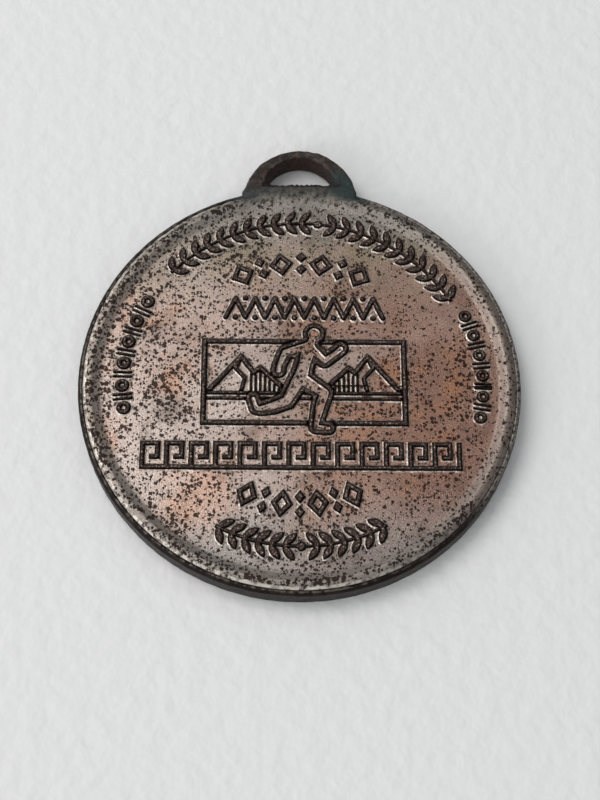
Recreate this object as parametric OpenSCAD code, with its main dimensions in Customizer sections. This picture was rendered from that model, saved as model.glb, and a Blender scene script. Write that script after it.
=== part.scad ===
// Sports finisher medal: a struck disc with a raised rim on both faces, a pierced
// loop for a ribbon, and a front design of raised ornament around a framed scene.
// +Z points out of the front face and +Y points to the loop.
// The origin is the centre of the disc, on the plane of the back rim.

/* [Disc] */
// Outer diameter of the disc
disc_d = 60; // [50:0.5:80]
// Thickness over both rims
disc_t = 4; // [3.2:0.1:6]
// Radius of the rounded front edge
front_edge_r = 0.7; // [0.3:0.05:0.9]
// Radius of the rounded back edge
back_edge_r = 0.5; // [0.2:0.05:0.9]

/* [Rims and fields] */
// Width of the flat top of the front rim
front_land = 0.6; // [0.3:0.05:1.5]
// Width of the hollow curve between the front rim and its field
front_cove = 2.2; // [1:0.1:3]
// Depth of the front field below its rim
front_depth = 0.6; // [0.3:0.05:0.9]
// Width of the flat top of the back rim
back_land = 1.2; // [0.5:0.05:2]
// Width of the hollow curve between the back rim and its field
back_cove = 1.2; // [0.6:0.1:2.5]
// Depth of the back field below its rim
back_depth = 0.35; // [0.15:0.05:0.7]

/* [Ribbon loop] */
// Width of the D-shaped eye
eye_w = 10.3; // [7:0.1:13]
// Height of the eye
eye_h = 4.5; // [3.5:0.1:6]
// Metal left between the eye and the disc's edge
eye_web = 0.25; // [0.2:0.05:2]
// Width of the band over the top of the eye
loop_crown = 1.3; // [0.8:0.1:3]
// Width of the band at each side of the eye
loop_side = 2.85; // [2:0.05:4]
// How far the loop lies below the disc's thickness, on each face
loop_inset = 0.2; // [0.1:0.05:0.6]

/* [Raised design] */
// Height of the raised design above the field
relief_h = 0.45; // [0.2:0.05:0.6]
// Width of the main strokes
stroke = 0.75; // [0.5:0.05:0.95]
// Width of the fine strokes
fine_stroke = 0.32; // [0.2:0.02:0.42]
// Clear field between the design and the start of the hollow curve
field_margin = 0.3; // [0.1:0.1:2]

/* [Framed scene] */
// Width of the frame around the scene
frame_w = 27.9; // [20:0.1:32]
// Height of the frame around the scene
frame_h = 12.7; // [8:0.1:15.5]
// Width of the runner's head inside its outline
head_d = 1.7; // [1:0.1:2]
// How sturdy the runner's body and limbs are, as a share of the drawn build
build = 1; // [0.7:0.05:1.2]

/* [Bands of ornament] */
// Leaf pairs in the upper laurel
upper_leaves = 23; // [9:2:25]
// Leaf pairs in the lower laurel
lower_leaves = 13; // [5:2:15]
// Lozenges in each short arc
lozenges = 4; // [2:1:5]
// Teeth in the zigzag row
teeth = 8; // [4:1:9]
// Keys in the meander row
keys = 13; // [6:1:14]
// Beads in each side band
side_beads = 6; // [3:1:7]

/* [Hidden] */
$fn = 96;
eps = 0.01;

// The disc's levels and radii
disc_r = disc_d / 2;
field_z = disc_t - front_depth;
field_r = disc_r - front_edge_r - front_land - front_cove;
back_field_r = disc_r - back_edge_r - back_land - back_cove;

// The loop's places, worked outwards from the disc's edge
eye_y = disc_r + eye_web;
loop_r = eye_w / 2 + loop_side;
loop_top = eye_y + eye_h + loop_crown;
loop_y = loop_top - loop_r;
eye_r = (pow(eye_w / 2, 2) + pow(eye_h, 2)) / (2 * eye_h);

// The design is drawn for a field of this radius and follows the field's size
drawn_r = 26.5;
k = field_r / drawn_r;
outer_r = field_r - field_margin;

// The framed scene: its middle, its skyline and the runner's joints
scene_x = 0.6 * k;
scene_y = -0.25 * k;
bar_w = 0.5;
bar_gap = 0.28;
horizon_y = -2.3 * k;
peak_x = 8.6 * k;
summit = [0, 3.5 * k];
outer_slope = [summit, [-4.9 * k, horizon_y]];
inner_slope = [summit, [1.75, 1.1] * k, [2.6, 1.85] * k, [5.3, -0.75] * k, [7.6 * k, horizon_y]];
ridge = [summit, [-0.7, 1.7] * k, [0.55, 0.3] * k, [-0.1 * k, horizon_y]];
slope_step = 0.62 * k;
seat_gap = 0.06;
inner_round = 0.12;
head = [1.95, 6.95] * k;

// The runner's joints, each with the half width of the body there
neck = [[1.35, 5.2, 0.5], [1.8, 6.4, 0.45]] * k;
torso = [[1.2, 4.75, 0.95], [0.65, 2.5, 0.75], [0.1, 0.35, 0.9]] * k;
front_arm = [[1.35, 4.95, 0.6], [3.35, 2.95, 0.42], [5.1, 4.25, 0.32], [5.55, 4.7, 0.36]] * k;
back_arm = [[0.95, 5.0, 0.6], [-2.0, 4.15, 0.42], [-2.85, 2.05, 0.32], [-2.9, 1.4, 0.36]] * k;
front_leg = [[0.35, 0.15, 0.85], [3.3, -1.85, 0.6], [2.75, -3.6, 0.58], [2.2, -6.15, 0.34], [2.15, -6.8, 0.32], [3.8, -6.95, 0.27]] * k;
back_leg = [[-0.15, 0.15, 0.85], [-1.8, -3.05, 0.6], [-3.5, -3.75, 0.56], [-5.35, -4.2, 0.34], [-5.85, -4.1, 0.3], [-6.3, -2.7, 0.27]] * k;

// ---------- small shapes ----------

// A stroke with round ends and elbows, along two or more points
module path(points, w) {
    for (i = [0 : len(points) - 2]) {
        d = points[i + 1] - points[i];
        translate(points[i]) rotate(atan2(d.y, d.x)) translate([0, -w / 2]) square([norm(d), w]);
    }
    for (p = points) translate(p) circle(d = w);
}

// A limb whose width changes from joint to joint, with something added all round
module limb(joints, extra) {
    for (i = [0 : len(joints) - 2]) {
        p = joints[i];
        q = joints[i + 1];
        way = atan2(q.y - p.y, q.x - p.x);
        lean = acos((p.z - q.z) * build / norm([q.x - p.x, q.y - p.y]));
        polygon([
            for (corner = [[p, 1], [q, 1], [q, -1], [p, -1]])
            [corner[0].x, corner[0].y] + (corner[0].z * build + extra) * dir(way + corner[1] * lean)
        ]);
    }
    for (j = joints) translate([j.x, j.y]) circle(j.z * build + extra);
}

// A straight bar between two corners
module bar(x0, y0, x1, y1) {
    translate([x0, y0]) square([x1 - x0, y1 - y0]);
}

// A pointed leaf that lies along X, from its stalk at the origin
module leaf(length, width) {
    r = (length * length + width * width) / (4 * width);
    translate([length / 2, 0]) intersection() {
        translate([0, r - width / 2]) circle(r);
        translate([0, width / 2 - r]) circle(r);
    }
}

// A square on its corner, stretched to a width and a height
module diamond(w, h) {
    polygon([[-w / 2, 0], [0, -h / 2], [w / 2, 0], [0, h / 2]]);
}

// A lozenge drawn as an outline
module lozenge(w, h, line) {
    slant = line * norm([w, h]) * 2;
    difference() {
        diamond(w, h);
        diamond(w - slant / h, h - slant / w);
    }
}

// Part of a ring between two radii and two angles
module arc_band(r_in, r_out, a0, a1) {
    reach = r_out / cos((a1 - a0) / 4) + 1;
    intersection() {
        difference() {
            circle(r_out, $fn = 240);
            circle(r_in, $fn = 240);
        }
        polygon([[0, 0], for (i = [0 : 4]) reach * dir(a0 + (a1 - a0) * i / 4)]);
    }
}

// The unit vector at an angle
function dir(a) = [cos(a), sin(a)];

// Copies its children along an arc, each turned to stand on it
module along_arc(r, a0, a1, n) {
    for (i = [0 : n - 1]) {
        a = n == 1 ? (a0 + a1) / 2 : a0 + (a1 - a0) * i / (n - 1);
        rotate(a - 90) translate([0, r]) children();
    }
}

// Stands a flat design on the front field
module raise() {
    translate([0, 0, field_z]) linear_extrude(relief_h) children();
}

// ---------- the disc ----------

// What a rounded outer corner takes away, for a corner at the origin
module corner_cut(r) {
    difference() {
        translate([-r, -r]) square(r + eps);
        translate([-r, -r]) circle(r);
    }
}

// The space over a field and its hollow curve, for a rim top at height 0
module field_cut(r, cove, depth) {
    cove_r = (cove * cove + depth * depth) / (2 * depth);
    translate([0, -depth]) square([r, depth + eps]);
    intersection() {
        translate([r - eps, -depth]) square([cove + eps, depth + eps]);
        translate([r, cove_r - depth]) circle(cove_r, $fn = 240);
    }
}

// Half of the disc's cross-section, from the axis to the edge
module disc_section() {
    difference() {
        square([disc_r, disc_t]);
        translate([disc_r, disc_t]) corner_cut(front_edge_r);
        translate([disc_r, 0]) mirror([0, 1]) corner_cut(back_edge_r);
        translate([0, disc_t]) field_cut(field_r, front_cove, front_depth);
        mirror([0, 1]) field_cut(back_field_r, back_cove, back_depth);
    }
}

module field_disc() {
    color([0.62, 0.54, 0.50]) rotate_extrude($fn = 240) intersection() {
        disc_section();
        square([field_r, disc_t]);
    }
}

module rim_ring() {
    color([0.45, 0.40, 0.38]) rotate_extrude($fn = 240) intersection() {
        disc_section();
        translate([field_r, 0]) square([disc_r, disc_t]);
    }
}

// ---------- the ribbon loop ----------

module eye_outline() {
    intersection() {
        translate([0, eye_y + eye_h - eye_r]) circle(eye_r, $fn = 160);
        translate([-eye_w, eye_y]) square([2 * eye_w, 2 * eye_h]);
    }
}

module loop_outline() {
    difference() {
        translate([0, loop_y]) circle(loop_r, $fn = 160);
        eye_outline();
    }
}

module ribbon_loop() {
    root_r = disc_r - front_edge_r;
    color([0.25, 0.27, 0.25]) difference() {
        translate([0, 0, loop_inset]) linear_extrude(disc_t - 2 * loop_inset) loop_outline();
        cylinder(h = 3 * disc_t, r = root_r, center = true, $fn = 240);
        rotate_extrude($fn = 240) intersection() {
            disc_section();
            translate([root_r - eps, 0]) square([disc_r, disc_t]);
        }
    }
}

// ---------- the framed scene ----------

// The runner's whole shape, with something added all round
module runner_shape(extra) {
    for (joints = [neck, torso, front_arm, back_arm, front_leg, back_leg]) limb(joints, extra);
    translate(head) circle(head_d / 2 + extra);
}

// All that the runner covers, which the rest of the scene leaves free
module runner_shadow() {
    runner_shape(stroke + seat_gap);
}

// The outer pair of offsets rounds the inner corners, such as the elbows
module runner() {
    color([0.20, 0.16, 0.14]) raise() offset(r = -inner_round, $fn = 32) offset(r = inner_round, $fn = 32) {
        difference() {
            runner_shape(stroke, $fn = 32);
            runner_shape(0, $fn = 32);
        }
    }
}

module frame_outline(inset) {
    translate([scene_x, scene_y]) square([frame_w * k - 2 * inset, frame_h * k - 2 * inset], center = true);
}

module scene_frame() {
    color([0.22, 0.18, 0.16]) raise() difference() {
        frame_outline(0);
        frame_outline(stroke);
        offset(r = seat_gap, $fn = 32) runner_shape(stroke, $fn = 32);
    }
}

module horizon_shape() {
    for (side = [-1, 1]) {
        y = horizon_y + side * (bar_w + bar_gap) / 2;
        bar(-disc_r, y - bar_w / 2, disc_r, y + bar_w / 2);
    }
}

module horizon_bars() {
    color([0.22, 0.18, 0.16]) raise() difference() {
        intersection() {
            horizon_shape();
            frame_outline(stroke + seat_gap);
        }
        runner_shadow();
    }
}

// What lies above the horizon inside the frame, clear of the runner
module sky() {
    skyline = horizon_y + bar_w + bar_gap / 2 + seat_gap;
    intersection() {
        children();
        bar(-disc_r, skyline, disc_r, disc_r);
        frame_outline(stroke + seat_gap);
    }
}

// One peak with its summit at the middle, and its ridge inside it
module peak_shape() {
    path(outer_slope, stroke);
    path(inner_slope, stroke);
    path(ridge, stroke * 0.75);
}

// Fine lines under the inner slope of a peak
module slope_shape() {
    first = 1.4 * k;
    for (x = [first : slope_step : inner_slope[4].x]) {
        top = lookup(x, inner_slope) - stroke * 0.8;
        if (top > horizon_y + 1.1 * k) bar(x - fine_stroke / 2, horizon_y, x + fine_stroke / 2, top);
    }
}

module peak(side) {
    color([0.20, 0.16, 0.14]) raise() difference() {
        sky() translate([scene_x, 0]) mirror([side > 0 ? 1 : 0, 0]) translate([-peak_x, 0]) peak_shape();
        runner_shadow();
    }
}

module slope_lines(side) {
    color([0.25, 0.20, 0.18]) raise() difference() {
        sky() translate([scene_x, 0]) mirror([side > 0 ? 1 : 0, 0]) translate([-peak_x, 0]) slope_shape();
        runner_shadow();
    }
}

// ---------- bands of ornament ----------

// Two sprays of leaves that meet at a berry in the middle of an arc
module laurel(r_in, r_out, a0, a1, pairs) {
    mid_r = (r_in + r_out) / 2;
    stem = stroke * 0.6;
    side = (pairs - 1) / 2;
    step = (a1 - a0) / pairs;
    tilt = 48;
    leaf_l = ((r_out - r_in) / 2 - stroke * 0.3) / sin(tilt);
    leaf_w = stroke * 1.45;
    color([0.20, 0.16, 0.14]) raise() {
        arc_band(mid_r - stem / 2, mid_r + stem / 2, a0, a1);
        rotate((a0 + a1) / 2) translate([mid_r, 0]) circle(d = stroke * 1.7);
        for (way = [-1, 1], i = [1 : side], face = [-1, 1]) {
            a = (a0 + a1) / 2 + way * (i + 0.35) * step;
            rotate(a) translate([mid_r, 0]) rotate(-way * 90 + way * face * tilt) leaf(leaf_l, leaf_w);
        }
    }
}

// Lozenges with pairs of small diamonds between them, along an arc
module lozenge_arc(r_in, r_out, a0, a1) {
    height = r_out - r_in;
    mid_r = (r_in + r_out) / 2;
    pitch = (a1 - a0) / (2 * lozenges - 1);
    width = abs(pitch) * mid_r * PI / 180 * 1.25;
    color([0.20, 0.16, 0.14]) raise() {
        along_arc(mid_r, a0 + pitch / 2, a1 - pitch / 2, lozenges) lozenge(width, height, stroke * 0.95);
        along_arc(mid_r, a0 + 1.5 * pitch, a1 - 1.5 * pitch, lozenges - 1) {
            for (side = [-1, 1]) translate([0, side * height * 0.26]) diamond(width * 0.46, height * 0.46);
        }
    }
}

// Beads with a pair of short bars between them, along an arc
module bead_arc(mid_r, height, a0, a1) {
    pitch = (a1 - a0) / (2 * side_beads - 1);
    color([0.20, 0.16, 0.14]) raise() {
        along_arc(mid_r, a0 + pitch / 2, a1 - pitch / 2, side_beads) {
            difference() {
                circle(d = height * 0.62);
                circle(d = height * 0.18);
            }
        }
        along_arc(mid_r, a0 + 1.5 * pitch, a1 - 1.5 * pitch, side_beads - 1) for (side = [-1, 1]) {
            path([[side * fine_stroke, -height * 0.36], [side * fine_stroke, height * 0.36]], fine_stroke * 1.2);
        }
    }
}

module zigzag_row() {
    width = 22.4 * k;
    low = 9.0 * k + stroke / 2;
    high = 12.7 * k - stroke / 2;
    tooth = (width - stroke) / teeth;
    left = scene_x - width / 2 + stroke / 2;
    color([0.20, 0.16, 0.14]) raise() for (i = [0 : teeth - 1]) {
        x = left + i * tooth;
        path([[x, low], [x + tooth / 2, high], [x + tooth, low]], stroke * 0.9);
        translate([x + tooth / 2, low]) circle(d = stroke * 1.05);
        if (i > 0) translate([x, high]) circle(d = stroke * 1.05);
    }
}

// A row of hooked keys that stand on one long bar
module meander_row() {
    width = 42.7 * k;
    height = 4.0 * k;
    line = stroke * 0.88;
    pitch = (width - line) / keys;
    hook = pitch * 0.62;
    left = 0.15 * k - width / 2;
    bottom = -12.9 * k;
    color([0.20, 0.16, 0.14]) raise() {
        bar(left, bottom, left + width, bottom + line);
        for (i = [0 : keys - 1]) {
            x = left + i * pitch;
            bar(x, bottom, x + line, bottom + height);
            bar(x, bottom + height - line, x + hook + line, bottom + height);
            bar(x + hook, bottom + height * 0.36, x + hook + line, bottom + height);
            bar(x + hook * 0.62, bottom + height * 0.36, x + hook + line, bottom + height * 0.36 + line);
        }
        bar(left + width - line, bottom, left + width, bottom + height);
    }
}

field_disc();
rim_ring();
ribbon_loop();
scene_frame();
horizon_bars();
peak(-1);  // left_peak
peak(1);  // right_peak
slope_lines(-1);  // left_slope_lines
slope_lines(1);  // right_slope_lines
runner();
laurel(outer_r - 4.1 * k, outer_r, 30, 138, upper_leaves);  // upper_laurel
laurel(21.3 * k, 25.5 * k, 242, 299, lower_leaves);  // lower_laurel
lozenge_arc(16 * k, 19.6 * k, 58, 121);  // upper_lozenges
lozenge_arc(15.7 * k, 19.7 * k, 243, 297);  // lower_lozenges
bead_arc(24 * k, 3.1 * k, 149, 192);  // left_beads
bead_arc(24.8 * k, 2.8 * k, -14, 25);  // right_beads
zigzag_row();
meander_row();
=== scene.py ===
"""Sports finisher medal: a struck copper-alloy disc under a worn silver wash.

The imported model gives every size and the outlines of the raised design. This script
gives them their struck form: strokes with soft shoulders that grow out of the field,
a rim with a rubbed edge, a pierced loop, and the tarnish that age leaves on them.
Shapes are worked out in millimetres, and a mesh is made from them in metres.
"""

import logging
import math
from dataclasses import dataclass, field
from enum import Enum

import bpy
import numpy as np
from mathutils import Euler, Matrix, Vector


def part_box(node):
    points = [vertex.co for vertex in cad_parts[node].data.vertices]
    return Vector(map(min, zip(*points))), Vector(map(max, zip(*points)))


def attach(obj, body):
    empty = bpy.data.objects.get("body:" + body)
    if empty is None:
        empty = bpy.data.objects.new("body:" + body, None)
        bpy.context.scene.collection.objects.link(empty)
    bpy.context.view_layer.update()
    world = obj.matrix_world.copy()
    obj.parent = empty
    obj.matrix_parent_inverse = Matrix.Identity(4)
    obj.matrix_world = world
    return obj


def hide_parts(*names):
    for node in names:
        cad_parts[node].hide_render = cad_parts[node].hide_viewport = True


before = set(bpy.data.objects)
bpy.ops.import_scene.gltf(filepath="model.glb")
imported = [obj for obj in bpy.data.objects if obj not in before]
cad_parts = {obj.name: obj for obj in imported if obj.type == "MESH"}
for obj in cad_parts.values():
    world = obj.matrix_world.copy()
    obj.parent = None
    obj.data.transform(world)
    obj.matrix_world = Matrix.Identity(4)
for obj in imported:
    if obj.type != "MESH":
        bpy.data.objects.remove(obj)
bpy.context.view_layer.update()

log = logging.getLogger("medal")

MM = 0.001
BODY = "root"
TURN = 2.0 * math.pi

# Settings that many nodes share: an eased ramp, a mix of two colours or two values, and a
# product without or with something added to it.
EASED = {"interpolation_type": "SMOOTHSTEP"}
COLOURS = {"out": 2, "data_type": "RGBA"}
VALUES = {"data_type": "FLOAT"}
TIMES = {"operation": "MULTIPLY"}
TIMES_PLUS = {"operation": "MULTIPLY_ADD"}


# ---------------------------------------------------------------------------
# Small tools
# ---------------------------------------------------------------------------


def smooth(t: np.ndarray) -> np.ndarray:
    """A smooth step from 0 to 1 as t goes from 0 to 1.

    Args:
        t: Any values; those outside 0 to 1 are held at the ends.

    Returns:
        The eased values.
    """
    t = np.clip(t, 0.0, 1.0)
    return t * t * (3.0 - 2.0 * t)


def linear(hex_colour: str) -> tuple[float, float, float, float]:
    """Turns an sRGB hex colour into the linear colour that a shader takes.

    Args:
        hex_colour: Six hex digits, with or without a leading hash.

    Returns:
        Red, green, blue and an alpha of 1, all linear.
    """
    digits = hex_colour.lstrip("#")
    srgb = [int(digits[i:i + 2], 16) / 255.0 for i in (0, 2, 4)]
    return (*[c / 12.92 if c <= 0.04045 else ((c + 0.055) / 1.055) ** 2.4 for c in srgb], 1.0)


class Ripple:
    """A smooth unevenness, the same on every run, made of seeded waves."""

    def __init__(self, seed: int, shortest: float, longest: float, waves: int = 20) -> None:
        """Draws the waves.

        Args:
            seed: Start of the random draw.
            shortest: Shortest wavelength, in millimetres.
            longest: Longest wavelength, in millimetres.
            waves: How many waves are added up.
        """
        rng = np.random.default_rng(seed)
        heading = rng.normal(size=(waves, 3))
        heading /= np.linalg.norm(heading, axis=1, keepdims=True)
        length = np.exp(rng.uniform(math.log(shortest), math.log(longest), waves))
        self.waves = heading * (TURN / length)[:, None]
        self.phase = rng.uniform(0.0, TURN, waves)
        self.scale = math.sqrt(2.0 / waves) / 1.5

    def at(self, points: np.ndarray) -> np.ndarray:
        """The unevenness at each point, mostly between -1 and 1.

        Args:
            points: Array of x, y, z rows, in millimetres.

        Returns:
            One value a point.
        """
        total = np.zeros(len(points))
        for wave, phase in zip(self.waves, self.phase):
            total += np.sin(points @ wave + phase)
        return total * self.scale


def make_piece(name: str, points: np.ndarray, faces: list[list[int]], crease_deg: float) -> bpy.types.Object:
    """Makes a smooth-shaded mesh object from points in millimetres.

    Args:
        name: The piece's name.
        points: Array of x, y, z rows, in millimetres.
        faces: Lists of point numbers.
        crease_deg: Edges that bend more than this stay sharp.

    Returns:
        The object, linked to the scene.
    """
    mesh = bpy.data.meshes.new(name)
    mesh.from_pydata((np.asarray(points) * MM).tolist(), [], faces)
    mesh.validate()
    mesh.polygons.foreach_set("use_smooth", [True] * len(mesh.polygons))
    mesh.set_sharp_from_angle(angle=math.radians(crease_deg))
    piece = bpy.data.objects.new(name, mesh)
    bpy.context.scene.collection.objects.link(piece)
    return piece


def ring_faces(rings: int, around: int, closed: bool) -> list[list[int]]:
    """Quads between neighbouring rings of points.

    Args:
        rings: How many rings there are.
        around: How many points each ring has.
        closed: Join the last ring to the first.

    Returns:
        The quads' point numbers.
    """
    faces = []
    for row in range(rings if closed else rings - 1):
        a, b = row * around, (row + 1) % rings * around
        faces += [[a + i, b + i, b + (i + 1) % around, a + (i + 1) % around] for i in range(around)]
    return faces


def report(piece: bpy.types.Object, finish: "Finish", *nodes: str) -> None:
    """Dresses a finished piece, ties it to the frame and logs it.

    Args:
        piece: The object.
        finish: The finish it wears.
        nodes: The CAD nodes that it stands for.
    """
    piece.data.materials.append(finish.material())
    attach(piece, BODY)
    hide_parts(*nodes)
    log.info("%s: %d faces, %s", piece.name, len(piece.data.polygons), finish.slot)


# ---------------------------------------------------------------------------
# Finishes
# ---------------------------------------------------------------------------


class Tree:
    """A node tree while it is being built."""

    def __init__(self, tree: bpy.types.NodeTree) -> None:
        """Empties the tree.

        Args:
            tree: The node tree of a material or a world.
        """
        self.tree = tree
        self.tree.nodes.clear()

    def put(self, kind: str, inputs: dict | None = None, out: int | str = 0,
            **settings: str | bool) -> bpy.types.NodeSocket | None:
        """Adds a node with its settings and links.

        Args:
            kind: The node's type, without ShaderNode in front.
            inputs: Values, hex colours or other nodes' outputs, by the input's name or number.
            out: Which output to hand back.
            settings: The node's own settings.

        Returns:
            That output, or None where the node has none.
        """
        node = self.tree.nodes.new("ShaderNode" + kind)
        for name, value in settings.items():
            setattr(node, name, value)
        for key, value in (inputs or {}).items():
            if isinstance(value, bpy.types.NodeSocket):
                self.tree.links.new(value, node.inputs[key])
            else:
                node.inputs[key].default_value = linear(value) if isinstance(value, str) else value
        return node.outputs[out] if len(node.outputs) else None


@dataclass(frozen=True)
class Drift:
    """How patches of one kind lie: their spacing in millimetres and how ragged they are.

    Low and high are the levels of the noise where a patch starts and where it is full.
    """

    size: float
    detail: float
    low: float
    high: float


class Shader(Tree):
    """A material's node tree, which knows where on the medal each point lies, in millimetres."""

    def __init__(self, name: str) -> None:
        """Starts an empty material.

        Args:
            name: The material's name.
        """
        self.material = bpy.data.materials.new(name)
        self.material.use_nodes = True
        super().__init__(self.material.node_tree)
        metres = self.put("TexCoord", out="Object")
        self.point = self.put("VectorMath", {0: metres, "Scale": 1.0 / MM}, operation="SCALE")
        self.x, self.y, self.z = (self.put("SeparateXYZ", {0: self.point}, axis) for axis in "XYZ")
        flat = self.put("CombineXYZ", {"X": self.x, "Y": self.y})
        self.radius = self.put("VectorMath", {0: flat}, "Value", operation="LENGTH")

    def spaced(self, size: float) -> dict[str, bpy.types.NodeSocket | float]:
        """The inputs that give a pattern its real spacing on the medal, in millimetres."""
        return {"Vector": self.point, "Scale": 1.0 / size}

    def clouds(self, drift: Drift) -> bpy.types.NodeSocket:
        """Soft patches that come and go.

        Args:
            drift: How the patches lie.

        Returns:
            0 between the patches and 1 in them.
        """
        noise = self.put("TexNoise", {**self.spaced(drift.size), "Detail": drift.detail, "Roughness": 0.6})
        return self.put("MapRange", {0: noise, 1: drift.low, 2: drift.high}, **EASED)

    def flecks(self, cell: float, crowd: bpy.types.NodeSocket, shift: float) -> bpy.types.NodeSocket:
        """Ragged flecks of mixed sizes, about one to a cell where they crowd.

        Args:
            cell: The distance between flecks, in millimetres.
            crowd: How large they grow, from 0 to 1 and a little over.
            shift: Moves the pattern, so that two layers differ.

        Returns:
            1 in a fleck and 0 between them.
        """
        fray = self.put("TexNoise", {**self.spaced(cell / 2.6), "Detail": 3.0}, "Color")
        fray = self.put("VectorMath", {0: fray, 1: (cell,) * 3, 2: self.point}, **TIMES_PLUS)
        fray = self.put("VectorMath", {0: fray, 1: (shift,) * 3}, operation="ADD")
        away = self.put("TexVoronoi", {"Vector": fray, "Scale": 1.0 / cell}, "Distance")
        draw = self.put("TexVoronoi", {"Vector": fray, "Scale": 1.0 / cell}, "Color")
        size = self.put("SeparateColor", {0: draw}, "Red")
        reach = self.put("Math", {0: size, 1: crowd}, **TIMES)
        reach = self.put("Math", {0: reach, 1: away}, operation="SUBTRACT")
        return self.put("MapRange", {0: reach, 1: -0.02, 2: 0.04}, **EASED)


class Place(Enum):
    """Which part of the medal a finish covers, by the name of what the metal is there."""

    FIELD = "silver_washed_copper_alloy"
    RIM = "silver_washed_trimmed_rim"
    RELIEF = "antiqued_copper_alloy"
    LOOP = "tarnished_copper_alloy"


@dataclass(frozen=True)
class Coat:
    """What one coat of a finish hands to the next."""

    colour: bpy.types.NodeSocket
    rough: bpy.types.NodeSocket
    metal: bpy.types.NodeSocket
    height: bpy.types.NodeSocket


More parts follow.
